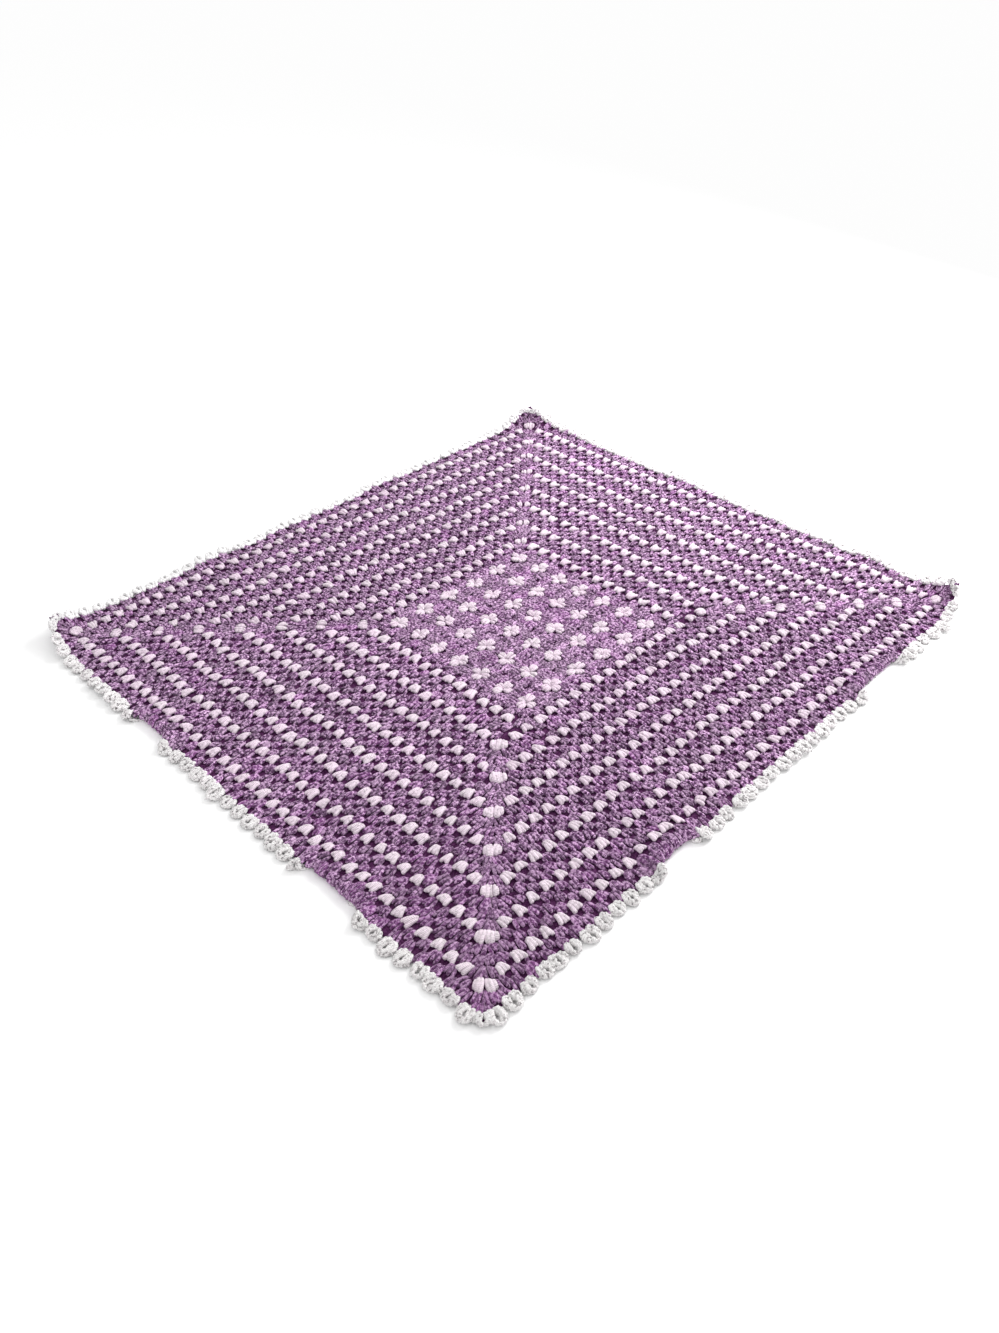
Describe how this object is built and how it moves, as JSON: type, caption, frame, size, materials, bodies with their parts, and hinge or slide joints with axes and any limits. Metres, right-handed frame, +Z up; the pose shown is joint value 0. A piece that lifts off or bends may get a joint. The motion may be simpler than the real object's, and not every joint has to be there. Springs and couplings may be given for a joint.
{
  "type": "granny square blanket",
  "caption": "Crocheted wool-blend blanket laid flat: small squares in the middle, a wide border of cluster rounds and a scalloped shell edging.",
  "frame": {"origin": "middle of the blanket's box, on the floor that it lies on", "axes": "+Z up, out of the floor; +X along the side with six squares; +Y along the side with seven squares, away from the side whose border is narrower"},
  "size_m": [1.0112, 0.9242, 0.0551],
  "materials": {
    "square_yarn": "matte marled yarn, lilac and off-white",
    "border_yarn": "matte marled yarn, purple with pale flecks",
    "edging_yarn": "matte yarn, cream white"
  },
  "bodies": {
    "root": {"centre_panel": "square_yarn", "border_rounds": "border_yarn", "shell_edging": "edging_yarn"}
  },
  "joints": []
}
